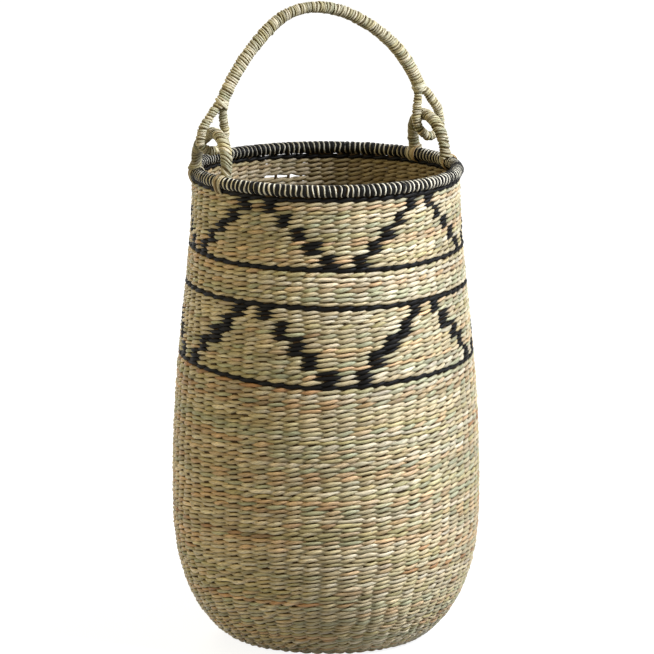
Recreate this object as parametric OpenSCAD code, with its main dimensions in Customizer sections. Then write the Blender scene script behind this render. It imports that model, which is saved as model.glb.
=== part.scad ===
// Twined market basket with a wrapped bail handle, in millimetres.
// Origin at the middle of the base on the floor, +Z up, the line through both ears along X.

/* [Body] */
// Radius of the flat base
base_r = 84; // [60:1:110]
// Largest radius of the wall
belly_r = 140; // [100:1:180]
// Height of the largest radius
belly_z = 140; // [90:1:200]
// Radius of the wall under the rim
neck_r = 121.5; // [90:0.5:160]
// Height of the wall under the rim
wall_z = 424; // [300:1:520]
// Thickness of the outer layer of strands
outer_t = 2.8; // [2:0.1:4]
// Space for the stakes between the layers
slot_t = 2.4; // [1.5:0.1:4]
// Thickness of the inner layer of strands
inner_t = 2.2; // [1.5:0.1:4]

/* [Stakes] */
// Number of upright stakes
stake_count = 60; // [40:1:80]
// Angle that one stake takes up
stake_angle = 2.6; // [1.5:0.1:4]
// Radius where the stakes leave the centre of the base
start_r = 44; // [30:1:60]

/* [Bands] */
// Height of one black row
course_h = 3.8; // [3:0.1:6]
// Top of the tight turn above the base
turn_z = 13; // [8:1:20]
// Top of the rounded heel
heel_z = 46; // [30:1:70]
// Middle height of the first black line
low_line_z = 255; // [200:1:300]
// Middle height of the second black line
mid_line_z = 328; // [290:1:340]
// Middle height of the third black line
high_line_z = 355.5; // [345:0.5:380]

/* [Rim] */
// Height of the middle of the rim
rim_z = 430; // [300:1:530]
// Radius of the middle of the rim
rim_r = 118.6; // [90:0.1:160]
// Radius of the bundle inside the rim
hoop_r = 3.6; // [2:0.1:6]
// Outer radius of the rim winding
rim_wrap_r = 5.8; // [4:0.1:9]

/* [Ears] */
// Half of the distance between the feet of an ear
ear_r = 29; // [20:0.5:40]
// Height of the bend's centre above the rim
ear_leg = 11.5; // [9:0.5:24]
// How far the ears and the handle sit behind the middle
ear_shift = 9.5; // [0:0.5:14]
// Lean of the ears towards the axis
ear_lean = 9; // [0:0.5:15]
// Radius of the bundle inside an ear
ear_core_r = 3.4; // [2:0.1:5]
// Turns of the winding on each ear
ear_turns = 16; // [8:1:18]
// Thickness of the lashings at the feet
lash_t = 1.5; // [1:0.1:3]
// Half of the angle that a lashing takes up on the rim
lash_half = 3; // [2:0.1:5]

/* [Handle] */
// Height of the grip's middle above the rim
grip_rise = 147; // [120:1:180]
// Bend radius at the top of the grip
top_bend_r = 79; // [60:1:100]
// Half of the angle of the top bend
top_bend_angle = 31; // [20:1:45]
// Bend radius of the sides of the grip
side_bend_r = 168; // [140:1:220]
// Angle of the grip's ends from level
end_angle = 65; // [55:1:75]
// Radius of the bundle inside the grip
grip_core_r = 4.4; // [3:0.1:6]
// Turns of the winding on the grip
grip_turns = 52; // [30:1:60]
// Bend radius of the end loops
eye_r = 12; // [10:0.5:18]
// Radius of the bundle inside the end loops
eye_core_r = 2.6; // [1.5:0.1:4]
// Outer radius of the winding on the end loops
eye_wrap_r = 4.2; // [3:0.1:6]
// Height of the loop's bend centre above the rim
eye_rise = 31.5; // [26:0.5:38]
// Distance of the loop's bend centre from the axis
eye_x = 112.6; // [100:0.1:125]
// Lean of the end loops
eye_lean = 11; // [0:0.5:20]
// Straight part of the loops' sides
eye_side = 8; // [5:0.5:20]
// Radius of the inward bend of the loops' sides
eye_bend_r = 12; // [8:0.5:20]
// Angle of the inward bend of the loops' sides
eye_bend_angle = 22; // [15:1:35]
// Half of the distance between the legs at the fork
leg_gap = 3.6; // [2:0.1:6]

/* [Hidden] */
$fn = 96;
seam = 0.05;
wall_t = outer_t + slot_t + inner_t;
stake_in = outer_t + 0.4;
stake_out = outer_t + slot_t - 0.4;
inner_in = outer_t + slot_t;
top_course_z = wall_z - course_h;
natural = [0.78, 0.71, 0.52];
straw = [0.83, 0.78, 0.6];
black = [0.1, 0.1, 0.11];
tan_col = [0.68, 0.54, 0.36];

// Radius of the wall's outer face at a height
function ease(t) = 3 * t * t - 2 * t * t * t;
function low_part(z) = pow(1 - pow(1 - z / belly_z, 2.7), 0.71);
function high_part(z) = ease(pow((z - belly_z) / (wall_z - belly_z), 1.2));
function wall_r(z) = z < belly_z
  ? base_r + (belly_r - base_r) * low_part(max(z, 0))
  : belly_r - (belly_r - neck_r) * high_part(min(z, wall_z));

// Direction into the wall at a height
function lean_of(z) = z <= 0 ? 90 : atan((wall_r(z + 0.4) - wall_r(max(z - 0.4, 0))) / (0.4 + min(z, 0.4)));
function into(z, d) = [wall_r(z) - d * cos(lean_of(z)), z + d * sin(lean_of(z))];

// Heights between two ends, in even steps or at chosen shares
function steps(a, b, n) = [for (i = [0 : n]) a + (b - a) * i / n];
function shares(a, b, parts) = [for (f = parts) a + (b - a) * f];
function after_first(list) = [for (i = [1 : len(list) - 1]) list[i]];
turn_steps = shares(0, turn_z, [0, 0.09, 0.31, 0.65, 1]);
heel_steps = shares(turn_z, heel_z, [0, 0.18, 0.45, 0.72, 1]);
belly_steps = shares(heel_z, belly_z, [0, 0.13, 0.26, 0.41, 0.57, 0.79, 1]);
high_steps = steps(belly_z, wall_z, 12);
wall_steps = concat(turn_steps, after_first(heel_steps), after_first(belly_steps), after_first(high_steps));

// The same heights with a thin seam at both ends
function seamed(list) = concat([list[0] + seam], [for (i = [1 : len(list) - 2]) list[i]],
  [list[len(list) - 1] - seam]);

// One layer of the wall between two depths, as a ring
module layer(heights, d1, d2) {
  rotate_extrude()
    polygon(concat([for (z = heights) into(z, d1)],
      [for (i = [len(heights) - 1 : -1 : 0]) into(heights[i], d2)]));
}

// A band of twined rows, outside the stakes
module band(heights) {
  layer(heights, 0, outer_t);
}

module base_start() {
  color(natural) cylinder(h = wall_t, r = start_r - 0.1);
}

module base_weave() {
  color(natural) {
    rotate_extrude() translate([start_r, 0]) square([base_r - start_r - seam, outer_t]);
    rotate_extrude() translate([start_r, inner_in]) square([base_r - start_r - seam, inner_t]);
  }
}

module stakes() {
  outline = concat([[start_r, stake_in]], [for (z = wall_steps) into(z, stake_in)],
    [for (i = [len(wall_steps) - 1 : -1 : 0]) into(wall_steps[i], stake_out)], [[start_r, stake_out]]);
  color(tan_col)
    for (i = [0 : stake_count - 1])
      rotate([0, 0, i * 360 / stake_count - stake_angle / 2])
        rotate_extrude(angle = stake_angle) polygon(outline);
}

// The turns of all the rows on the inside of the stakes
module inner_weave() {
  color(natural) layer(wall_steps, inner_in, wall_t);
}

module foot_weave() {
  color(natural) band(concat([0], after_first(seamed(turn_steps))));
}

module heel_weave() {
  color(natural) band(seamed(heel_steps));
}

module belly_weave() {
  color(natural) band(seamed(belly_steps));
}

module lower_wall_weave() {
  color(natural) band(seamed(steps(belly_z, low_line_z - course_h / 2, 5)));
}

module course(z) {
  color(black) band([z - course_h / 2 + seam, z + course_h / 2 - seam]);
}

module black_course_low() {
  course(low_line_z);
}

module lower_zigzag_band() {
  color(natural) band(seamed(steps(low_line_z + course_h / 2, mid_line_z - course_h / 2, 4)));
}

module black_course_mid() {
  course(mid_line_z);
}

module plain_band() {
  color(natural) band(seamed(steps(mid_line_z + course_h / 2, high_line_z - course_h / 2, 2)));
}

module black_course_high() {
  course(high_line_z);
}

module upper_zigzag_band() {
  color(natural) band(seamed(steps(high_line_z + course_h / 2, top_course_z, 4)));
}

module black_course_top() {
  color(black) band([top_course_z + seam, wall_z]);
}

// A tube bent around the Z axis, or a part of it
module ring_tube(bend, r_out, r_in = 0, angle = 360, from = 0) {
  rotate_extrude(angle = angle, start = from)
    translate([bend, 0])
      difference() {
        circle(r_out, $fn = 48);
        if (r_in > 0) circle(r_in, $fn = 48);
      }
}

module rim_hoop() {
  color(tan_col) translate([0, 0, rim_z]) ring_tube(rim_r, hoop_r);
}

module rim_wrap() {
  color(black) translate([0, 0, rim_z]) ring_tube(rim_r, rim_wrap_r, hoop_r + seam);
}

// Ears: legs stand on the lashings and the bend joins them
foot_x = sqrt(rim_r * rim_r - ear_r * ear_r);
function foot_turn(s) = atan2(ear_shift + s * ear_r, foot_x);
function foot_off(s) = norm([foot_x, ear_shift + s * ear_r]) - rim_r;
function foot_z(s) = sqrt(pow(rim_wrap_r + lash_t, 2) - pow(foot_off(s), 2)) + 0.9;
ear_in = ear_core_r / cos(22.5) + 0.06;
ear_out = ear_in + 1.2;
ear_bend = PI * ear_r;
ear_straight = ear_leg - rim_wrap_r - lash_t - 0.9;
ear_len = ear_bend + 2 * ear_straight;

module at_ear(side) {
  translate([side * foot_x, ear_shift, rim_z]) rotate([0, -side * ear_lean, 0]) children();
}

module ear_core(side) {
  color(tan_col) at_ear(side) {
    translate([0, 0, ear_leg]) rotate([90, 0, 90]) ring_tube(ear_r, ear_core_r, 0, 180, 0);
    for (s = [-1, 1])
      translate([0, s * ear_r, foot_z(s)]) cylinder(h = ear_leg - foot_z(s) + 0.01, r = ear_core_r, $fn = 48);
  }
}

// Middle line of an ear: place and two cross directions at a length along it
function ear_turn(s) = min(max(s - ear_straight, 0), ear_bend) / ear_r * 180 / PI;
function ear_low(s) = min(s - ear_straight, 0) + min(ear_len - ear_straight - s, 0);
function ear_place(s) = [0, ear_r * cos(ear_turn(s)), ear_leg + ear_r * sin(ear_turn(s)) + ear_low(s)];
function ear_away(s) = [0, cos(ear_turn(s)), sin(ear_turn(s))];
function ear_along(s) = [0, -sin(ear_turn(s)), cos(ear_turn(s))];

// Six corners of a flat strand at radii between r1 and r2
function strand(place, away, across, along, a, w, r1, r2) =
  let(out = away * cos(a) + across * sin(a), mid = (r1 + r2) / 2)
  [for (q = [[-w / 2, mid], [-w / 3, r1], [w / 3, r1], [w / 2, mid], [w / 3, r2], [-w / 3, r2]])
    place + out * q[1] + along * q[0]];

// Least distance between the corners of a ring and those one turn on
function least(rings) = min([for (i = [0 : len(rings) - 9]) for (p = rings[i]) for (q = rings[i + 8])
  norm(p - q)]);

// One unbroken strand through all its rings
module wound(rings) {
  n = len(rings);
  points = [for (r = rings) for (p = r) p];
  sides = [for (i = [0 : n - 2]) for (k = [0 : 5])
    let(a = i * 6 + k, b = i * 6 + (k + 1) % 6) each [[a, a + 6, b + 6], [a, b + 6, b]]];
  first = [for (k = [1 : 4]) [0, k, k + 1]];
  last = [for (k = [1 : 4]) [(n - 1) * 6, (n - 1) * 6 + k + 1, (n - 1) * 6 + k]];
  polyhedron(points, concat(sides, first, last), convexity = 10);
}

ear_margin = 2.8;
ear_strand_w = 4.6;
ear_rings = [for (i = [0 : ear_turns * 8])
  let(s = ear_margin + (ear_len - 2 * ear_margin) * i / (ear_turns * 8))
  strand(ear_place(s), ear_away(s), [1, 0, 0], ear_along(s), i * 45, ear_strand_w, ear_in, ear_out)];

module ear_wrap(side) {
  echo(ear_strand_gap = least(ear_rings));
  color(straw) at_ear(side) wound(ear_rings);
}

module left_ear_core() {
  ear_core(-1);
}

module right_ear_core() {
  ear_core(1);
}

module left_ear_wrap() {
  ear_wrap(-1);
}

module right_ear_wrap() {
  ear_wrap(1);
}

// A lashing goes over the rim and stops above the wall
module lash(turn) {
  color(tan_col) translate([0, 0, rim_z])
    rotate_extrude(angle = 2 * lash_half, start = turn - lash_half)
      translate([rim_r, 0])
        difference() {
          circle(rim_wrap_r + lash_t, $fn = 48);
          circle(rim_wrap_r + seam, $fn = 48);
          translate([-20, wall_z - rim_z + 0.1 - 20]) square([40, 20]);
        }
}

module left_ear_lash_front() {
  lash(180 - foot_turn(-1));
}

module left_ear_lash_back() {
  lash(180 - foot_turn(1));
}

module right_ear_lash_front() {
  lash(360 + foot_turn(-1));
}

module right_ear_lash_back() {
  lash(foot_turn(1));
}

// Grip: one top bend and two wider side bends
top_c = [0, rim_z + grip_rise - top_bend_r];
side_c = top_c - (side_bend_r - top_bend_r) * [sin(top_bend_angle), cos(top_bend_angle)];
side_angle = end_angle - top_bend_angle;
fork = side_c + side_bend_r * [sin(end_angle), cos(end_angle)];
top_len = 2 * top_bend_angle * PI / 180 * top_bend_r;
side_len = side_angle * PI / 180 * side_bend_r;
grip_len = top_len + 2 * side_len;
grip_in = grip_core_r / cos(22.5) + 0.06;
grip_out = grip_in + 1.25;

module grip_bend(c, bend, from, angle) {
  translate([c[0], ear_shift, c[1]]) rotate([90, 0, 0]) ring_tube(bend, grip_core_r, 0, angle, from);
}

module handle_core() {
  color(tan_col) {
    grip_bend(top_c, top_bend_r, 90 - top_bend_angle, 2 * top_bend_angle);
    grip_bend(side_c, side_bend_r, 90 - end_angle, side_angle);
    mirror([1, 0, 0]) grip_bend(side_c, side_bend_r, 90 - end_angle, side_angle);
  }
}

// Middle line of the grip from the right fork to the left one
function grip_part(s) = s < side_len ? 0 : s < side_len + top_len ? 1 : 2;
function grip_turn(s) = grip_part(s) == 0 ? 90 - end_angle + s / side_bend_r * 180 / PI
  : grip_part(s) == 1 ? 90 - top_bend_angle + (s - side_len) / top_bend_r * 180 / PI
  : 90 + top_bend_angle + (s - side_len - top_len) / side_bend_r * 180 / PI;
function grip_away(s) = [cos(grip_turn(s)), 0, sin(grip_turn(s))];
function grip_along(s) = [-sin(grip_turn(s)), 0, cos(grip_turn(s))];
function grip_c(s) = grip_part(s) == 1 ? top_c : grip_part(s) == 0 ? side_c : [-side_c[0], side_c[1]];
function grip_bend_r(s) = grip_part(s) == 1 ? top_bend_r : side_bend_r;
function grip_place(s) = [grip_c(s)[0], ear_shift, grip_c(s)[1]] + grip_bend_r(s) * grip_away(s);

grip_margin = 3;
grip_strand_w = 3.9;
grip_rings = [for (i = [0 : grip_turns * 8])
  let(s = grip_margin + (grip_len - 2 * grip_margin) * i / (grip_turns * 8))
  strand(grip_place(s), grip_away(s), [0, -1, 0], grip_along(s), i * 45, grip_strand_w, grip_in, grip_out)];

module handle_wrap() {
  echo(grip_strand_gap = least(grip_rings));
  color(straw) wound(grip_rings);
}

// End loops: a half ring, two straight sides that bend inwards and two legs that meet at the fork
eye_o = [eye_x, rim_z + eye_rise];
bent_x = eye_r - eye_bend_r * (1 - cos(eye_bend_angle));
bent_z = eye_side + eye_bend_r * sin(eye_bend_angle);
leg_len = (bent_x - leg_gap) / sin(eye_bend_angle);

// A straight tube, solid when r_in is zero
module pipe(len, r_out, r_in) {
  difference() {
    cylinder(h = len, r = r_out, $fn = 48);
    if (r_in > 0) translate([0, 0, -1]) cylinder(h = len + 2, r = r_in, $fn = 48);
  }
}

module eye_tube(r_out, r_in, extra) {
  rotate([90, 0, 0]) ring_tube(eye_r, r_out, r_in, 180, 180);
  for (s = [0, 1]) mirror([s, 0, 0]) {
    translate([eye_r, 0, 0]) pipe(eye_side, r_out, r_in);
    translate([eye_r - eye_bend_r, 0, eye_side]) rotate([90, 0, 0])
      ring_tube(eye_bend_r, r_out, r_in, eye_bend_angle, 0);
    translate([bent_x, 0, bent_z]) rotate([0, -eye_bend_angle, 0]) pipe(leg_len + extra, r_out, r_in);
  }
}

module at_eye() {
  translate([eye_o[0], ear_shift, eye_o[1]]) rotate([0, -eye_lean, 0]) children();
}

// Space above the grip's end, where the loops stop
module above_fork(drop) {
  translate([fork[0], ear_shift, fork[1]]) rotate([0, end_angle - 90, 0])
    translate([-30, -30, -drop]) cube(60);
}

module eye_core(side) {
  color(tan_col) mirror([side < 0 ? 1 : 0, 0, 0]) difference() {
    at_eye() eye_tube(eye_core_r, 0, 1.6);
    above_fork(0.1);
  }
}

module eye_wrap(side) {
  color(straw) mirror([side < 0 ? 1 : 0, 0, 0]) at_eye() eye_tube(eye_wrap_r, eye_core_r + seam, -4.5);
}

module left_eye_core() {
  eye_core(-1);
}

module right_eye_core() {
  eye_core(1);
}

module left_eye_wrap() {
  eye_wrap(-1);
}

module right_eye_wrap() {
  eye_wrap(1);
}

module fork_tie(side) {
  color(straw) mirror([side < 0 ? 1 : 0, 0, 0])
    translate([fork[0], ear_shift, fork[1]]) rotate([0, end_angle - 90, 0])
      rotate_extrude()
        polygon([[grip_out + 0.15, 2.2], [grip_out + 1.1, 2.6], [grip_out + 1.5, 4.5],
          [grip_out + 1.1, 6.6], [grip_out + 0.15, 7]]);
}

module left_fork_tie() {
  fork_tie(-1);
}

module right_fork_tie() {
  fork_tie(1);
}

base_start();
base_weave();
stakes();
foot_weave();
heel_weave();
belly_weave();
lower_wall_weave();
black_course_low();
lower_zigzag_band();
black_course_mid();
plain_band();
black_course_high();
upper_zigzag_band();
black_course_top();
inner_weave();
rim_hoop();
rim_wrap();
left_ear_core();
right_ear_core();
left_ear_wrap();
right_ear_wrap();
left_ear_lash_front();
left_ear_lash_back();
right_ear_lash_front();
right_ear_lash_back();
handle_core();
handle_wrap();
left_eye_core();
right_eye_core();
left_eye_wrap();
right_eye_wrap();
left_fork_tie();
right_fork_tie();
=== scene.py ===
import math

import bpy
import numpy as np
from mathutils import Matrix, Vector


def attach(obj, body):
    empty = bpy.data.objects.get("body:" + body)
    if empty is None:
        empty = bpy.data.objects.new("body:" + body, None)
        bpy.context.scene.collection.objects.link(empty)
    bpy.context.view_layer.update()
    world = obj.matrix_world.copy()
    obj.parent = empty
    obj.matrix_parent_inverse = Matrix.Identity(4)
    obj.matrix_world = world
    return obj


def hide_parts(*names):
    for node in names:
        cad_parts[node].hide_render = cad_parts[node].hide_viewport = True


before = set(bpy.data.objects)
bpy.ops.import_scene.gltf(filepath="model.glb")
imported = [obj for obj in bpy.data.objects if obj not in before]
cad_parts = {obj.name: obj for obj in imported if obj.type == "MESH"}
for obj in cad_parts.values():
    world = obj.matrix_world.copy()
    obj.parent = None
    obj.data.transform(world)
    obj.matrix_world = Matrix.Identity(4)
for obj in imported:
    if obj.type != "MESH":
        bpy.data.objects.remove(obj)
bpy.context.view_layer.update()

# Lengths of the basket are in millimetres, as in the part's source, and become metres in the meshes
MM = 0.001
SEED = 11
rng = np.random.default_rng(SEED)

# Wall of the basket
BASE_R = 84.0
HEEL_POWER = 2.7
HEEL_ROUND = 0.71
NECK_POWER = 1.2
BELLY_R = 140.0
BELLY_Z = 140.0
NECK_R = 121.5
WALL_Z = 424.0
COURSE_H = 3.8
TURN_Z = 13.0
HEEL_Z = 46.0
LOW_LINE_Z = 255.0
MID_LINE_Z = 328.0
HIGH_LINE_Z = 355.5
START_R = 44.0
START_HOLE = 7.0

# Weave: the widths of a stitch and its lift are shares of the height of its row
COLUMNS = 60
START_COLUMNS = 20
ROW_PITCH = 4.0
STRAND_T = 1.5
STRAND_TWIST = 0.12
MID_DEPTH = 2.85
SWING = 1.45
LIFT = 0.23
FRONT_W = 0.475
CROSS_W = 0.34
# Painted shade on the sides of the weave's strands
GAP_SHADE = 0.44
STAKE_DEPTH = 3.2
STAKE_T = 0.8
STEPS = 6
SIDES = 8
FEW_SIDES = 6
ROWS_PER_PIECE = 14
PERIOD = 12
PEAK_COLUMN = 11

# Rim, ears and handle
RIM_Z = 430.0
RIM_R = 118.6
RIM_TUBE_R = 5.8
RIM_PAIRS = 152
EAR_R = 29.0
EAR_LEG = 11.5
EAR_SHIFT = 9.5
EAR_LEAN = math.radians(9)
GRIP_RISE = 147.0
TOP_BEND_R = 79.0
TOP_BEND = math.radians(31)
SIDE_BEND_R = 168.0
GRIP_END = math.radians(65)
GRIP_R = 6.0
EYE_R = 12.0
EYE_TUBE_R = 4.35
EYE_RISE = 31.5
EYE_X = 112.6
EYE_LEAN = math.radians(11)
EYE_SIDE = 8.0
EYE_BEND_R = 12.0
EYE_BEND = math.radians(22)
LEG_GAP = 3.6

# Camera of the photograph, in metres, and the turn of the side that it shows
CAM_AZ = math.radians(-29)
CAM_DIST = 6.0
CAM_HEIGHT = 1.461
CAM_LENS = 370.9
CAM_SENSOR = 36.0
CAM_CLIP = 100
AIM_Z = 0.2845
AIM_RIGHT = 0.0009
FRONT_TURN = math.atan2(-math.cos(CAM_AZ), math.sin(CAM_AZ))


def srgb(r, g, b):
    """A colour given in 0 to 255 steps, as linear light."""
    c = np.array([r, g, b], float) / 255.0
    return np.where(c <= 0.04045, c / 12.92, ((c + 0.055) / 1.055) ** 2.4)


STRAW = srgb(208, 191, 153)
PALE = srgb(226, 213, 184)
WHITE = srgb(230, 222, 200)
OLIVE = srgb(188, 175, 127)
GREEN = srgb(178, 177, 143)
TAN = srgb(216, 181, 138)
BROWN = srgb(178, 131, 86)
# Painted shade of the inside of the basket, mixed into the inner side of each strand
INSIDE_SHADE = srgb(150, 125, 87)
INK = srgb(13, 11, 8)
# Stakes and bundles are darker than the strands: painted shade where they show in the gaps between strands
CORE = srgb(78, 60, 36)
BUNDLE = srgb(122, 110, 80)
LASH = srgb(190, 164, 122)
TIE = srgb(214, 204, 174)
REED = srgb(192, 184, 153)


# Path of the wall from the middle of the base outwards and up
def wall_r(z):
    """Radius of the outside of the wall at a height."""
    low_z = np.clip(z, 0, BELLY_Z)
    low = BASE_R + (BELLY_R - BASE_R) * (1 - (1 - low_z / BELLY_Z) ** HEEL_POWER) ** HEEL_ROUND
    t = np.clip((z - BELLY_Z) / (WALL_Z - BELLY_Z), 0, 1) ** NECK_POWER
    high = BELLY_R - (BELLY_R - NECK_R) * (3 * t * t - 2 * t * t * t)
    return np.where(z < BELLY_Z, low, high)


BASE_POINTS = 160
WALL_POINTS = 3000
flat_r = np.linspace(0, BASE_R, BASE_POINTS, endpoint=False)
wall_z = WALL_Z * np.linspace(0, 1, WALL_POINTS) ** 2
path_r = np.concatenate([flat_r, wall_r(wall_z)])
path_z = np.concatenate([np.zeros(BASE_POINTS), wall_z])
path_l = np.concatenate([[0], np.cumsum(np.hypot(np.diff(path_r), np.diff(path_z)))])
path_tr = np.gradient(path_r, path_l)
path_tz = np.gradient(path_z, path_l)
path_tn = np.hypot(path_tr, path_tz)
path_tr /= path_tn
path_tz /= path_tn


def length_at(z):
    """Length along the path from the middle of the base to a height of the wall."""
    return float(np.interp(z, path_z[BASE_POINTS:], path_l[BASE_POINTS:]))


def path_at(length):
    """Radius, height and direction of the path at a length along it."""
    return [np.interp(length, path_l, a) for a in (path_r, path_z, path_tr, path_tz)]


def unit(v):
    return v / np.maximum(np.linalg.norm(v, axis=-1, keepdims=True), 1e-9)


# Faces darker than this take the black material
DARK = 0.03

# Painted shade: the sides of a strand are darker, most of all in blue, so that the gaps between strands look
# shaded brown
GAP_SHADE_HUE = np.array([0.86, 1.0, 1.2])
GAP_SHADE_POWER = 8

# Where the inner side of a strand begins, and how far apart the grain of two strands may lie
INNER_FROM = -0.3
GRAIN_SHIFT = 400

# Free room around the strips and ends of strands in the flat map
STRIP_ROOM = 0.08
END_ROOM = 0.004
CAP_SIZE = 0.4


def turned(angle):
    """How far round from the basket's front an angle is, up to half a turn to the left or right."""
    return (angle - FRONT_TURN + np.pi) % (2 * np.pi) - np.pi


def outward(turn):
    """Level unit vectors away from the basket's axis."""
    return np.stack([np.cos(turn), np.sin(turn), 0 * turn], -1)


class Piece:
    """Collects strands and turns them into one mesh object."""

    def __init__(self):
        self.co = []
        self.tint = []
        self.rest = []
        self.corner = []
        self.total = []
        self.strip = []
        self.uv = []
        self.dark = []
        self.caps = []
        self.count = 0
        self.strips = 0

    def strand(self, centre, out, half_w, half_t, tint, closed=False, sides=SIDES, segments=1, twist=0.0,
               tint_in=None, edge=0.0):
        """A strand along centre. out is the way its flat side faces. Sizes are half of the whole."""
        n = len(centre)
        if closed:
            along = np.roll(centre, -1, 0) - np.roll(centre, 1, 0)
        else:
            along = np.gradient(centre, axis=0)
        along = unit(along)
        out = unit(out - np.sum(out * along, -1, keepdims=True) * along)
        wide = np.cross(out, along)
        half_w = np.broadcast_to(half_w, n)
        half_t = np.broadcast_to(half_t, n)
        turn = 2 * np.pi * np.arange(sides) / sides
        cw = half_w[:, None] * np.cos(turn)
        ct = half_t[:, None] * np.sin(turn)
        ring = centre[:, None] + wide[:, None] * cw[..., None] + out[:, None] * ct[..., None]
        step = np.linalg.norm(np.diff(centre, axis=0), axis=1)
        length = np.concatenate([[0], np.cumsum(step)])
        spun = turn[None, :] + twist * length[:, None]
        size = np.sqrt(half_w * half_t)[:, None]
        shift = rng.uniform(0, GRAIN_SHIFT, 3)
        rest = np.stack([length[:, None] + shift[0] + 0 * spun, size * np.cos(spun) + shift[1],
                         size * np.sin(spun) + shift[2]], -1)
        self.co.append(ring.reshape(-1, 3))
        self.rest.append(rest.reshape(-1, 3))
        tints = np.repeat(np.broadcast_to(tint, (n, 3))[:, None], sides, 1)
        if tint_in is not None:
            tints[:, np.sin(turn) < INNER_FROM] = np.broadcast_to(tint_in, (n, 3))[:, None]
        # Painted shade on the sides of the strand, where the gaps between strands lie
        tints = tints * (1 - edge * (np.cos(turn) ** GAP_SHADE_POWER)[:, None] * GAP_SHADE_HUE)
        self.tint.append(tints.reshape(-1, 3))
        i0 = np.arange(n if closed else n - 1)
        i1 = (i0 + 1) % n
        j0 = np.arange(sides)
        j1 = (j0 + 1) % sides
        a = self.count + i0[:, None] * sides
        b = self.count + i1[:, None] * sides
        quads = np.stack([a + j0, a + j1, b + j1, b + j0], -1)
        self.corner.append(quads.reshape(-1))
        self.total.append(np.full(len(i0) * sides, 4))
        bright = tints.mean(-1)
        self.dark.append((bright[i0[:, None], j0] + bright[i1[:, None], j1] < 2 * DARK).reshape(-1))
        each = math.ceil(len(i0) / segments)
        seg = i0 // each
        u0 = (i0 - seg * each) / each
        u1 = u0 + 1 / each
        v0 = j0 / sides
        v1 = (j0 + 1) / sides
        shape = (len(i0), sides)
        u_low = np.broadcast_to(u0[:, None], shape)
        u_high = np.broadcast_to(u1[:, None], shape)
        v_low = np.broadcast_to(v0, shape)
        v_high = np.broadcast_to(v1, shape)
        uv = np.stack([np.stack([u_low, v_low], -1), np.stack([u_low, v_high], -1),
                       np.stack([u_high, v_high], -1), np.stack([u_high, v_low], -1)], 2)
        self.uv.append(uv.reshape(-1, 2))
        self.strip.append(np.repeat(self.strips + seg, sides * 4))
        self.strips += int(seg.max()) + 1
        if not closed:
            self.caps.append(self.count + np.arange(sides)[::-1])
            self.caps.append(self.count + (n - 1) * sides + np.arange(sides))
        self.count += n * sides

    def build(self, name, body, material, nodes, dark_material=None):
        """Makes the object, which rides on a body and stands for the named nodes."""
        strips = self.strips + (1 if self.caps else 0)
        for k, cap in enumerate(self.caps):
            turn = 2 * np.pi * np.arange(len(cap)) / len(cap)
            self.corner.append(cap)
            self.total.append(np.array([len(cap)]))
            self.dark.append(np.zeros(1, bool))
            middle = (k + 0.5) / len(self.caps)
            across = CAP_SIZE / len(self.caps)
            self.uv.append(np.stack([middle + across * np.cos(turn), 0.5 + CAP_SIZE * np.sin(turn)], -1))
            self.strip.append(np.full(len(cap), self.strips))
        co = np.concatenate(self.co) * MM
        corner = np.concatenate(self.corner).astype(np.int32)
        total = np.concatenate(self.total).astype(np.int32)
        start = np.concatenate([[0], np.cumsum(total)[:-1]]).astype(np.int32)
        uv = np.concatenate(self.uv)
        uv[:, 1] = (np.concatenate(self.strip) + STRIP_ROOM + (1 - 2 * STRIP_ROOM) * uv[:, 1]) / strips
        uv[:, 0] = END_ROOM + (1 - 2 * END_ROOM) * uv[:, 0]
        mesh = bpy.data.meshes.new(name)
        mesh.vertices.add(len(co))
        mesh.vertices.foreach_set("co", co.astype(np.float32).ravel())
        mesh.loops.add(len(corner))
        mesh.loops.foreach_set("vertex_index", corner)
        mesh.polygons.add(len(total))
        mesh.polygons.foreach_set("loop_start", start)
        mesh.polygons.foreach_set("loop_total", total)
        mesh.polygons.foreach_set("use_smooth", np.ones(len(total), bool))
        layer = mesh.uv_layers.new(name="OFBake")
        layer.data.foreach_set("uv", uv.astype(np.float32).ravel())
        tint = np.concatenate(self.tint)
        tint = np.concatenate([tint, np.ones((len(tint), 1))], 1)
        mesh.attributes.new("tint", "FLOAT_COLOR", "POINT").data.foreach_set(
            "color", tint.astype(np.float32).ravel())
        mesh.attributes.new("rest", "FLOAT_VECTOR", "POINT").data.foreach_set(
            "vector", np.concatenate(self.rest).astype(np.float32).ravel())
        dark = np.concatenate(self.dark)
        if dark_material is None:
            mesh.materials.append(material)
        elif dark.all():
            mesh.materials.append(dark_material)
        else:
            mesh.materials.append(material)
            if dark.any():
                mesh.materials.append(dark_material)
                mesh.polygons.foreach_set("material_index", dark.astype(np.int32))
        mesh.update(calc_edges=True)
        obj = bpy.data.objects.new(name, mesh)
        bpy.context.scene.collection.objects.link(obj)
        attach(obj, body)
        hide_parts(*nodes)


# Materials: the colour of each strand is in the mesh, and the fibres come from noise along it
FIBRE_SCALE = (0.14, 1.9, 1.9)
FIBRE_DETAIL = 4.0
FIBRE_LOW = 0.33
FIBRE_HIGH = 0.67
BRIGHT_SHARE = 0.6
PATCH_SCALE = (0.05, 0.16, 0.16)
PATCH_DETAIL = 2.0
COOL_PATCH = (0.93, 0.97, 0.9, 1)
WARM_PATCH = (1.06, 1.0, 0.94, 1)
BUMP_DEPTH = 0.0004


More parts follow.
